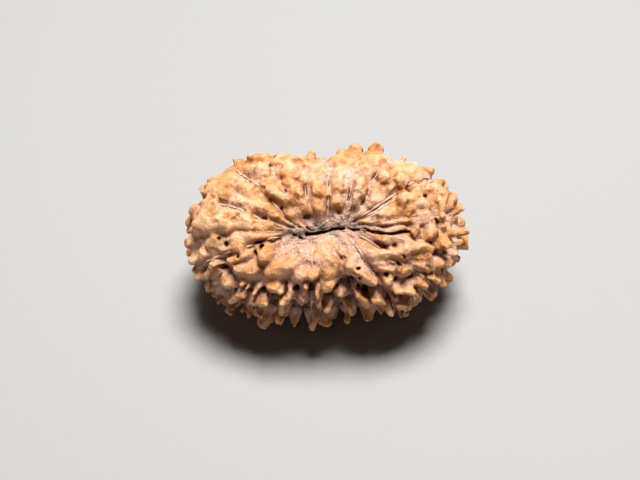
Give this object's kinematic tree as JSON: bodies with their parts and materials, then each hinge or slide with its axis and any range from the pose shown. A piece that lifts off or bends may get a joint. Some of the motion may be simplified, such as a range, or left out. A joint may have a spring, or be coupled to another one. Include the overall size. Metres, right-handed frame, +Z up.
{
  "type": "rudraksha seed",
  "caption": "Dry rudraksha seed: an oblong woody stone with sutures from pole to pole, knobbed ribs, pits and a slit at the pole, lying on its worn lowest knobs.",
  "frame": {"origin": "on the surface that the seed lies on, under the middle of its bounding box", "axes": "+Z up; +X along the seed, towards the end that the open cleft runs to; the near pole with the slit leans forward towards -Y"},
  "size_m": [0.0314, 0.02, 0.0185],
  "materials": {
    "seed_wood": "satin"
  },
  "bodies": {
    "root": {"rudraksha_seed": "seed_wood"}
  },
  "joints": []
}
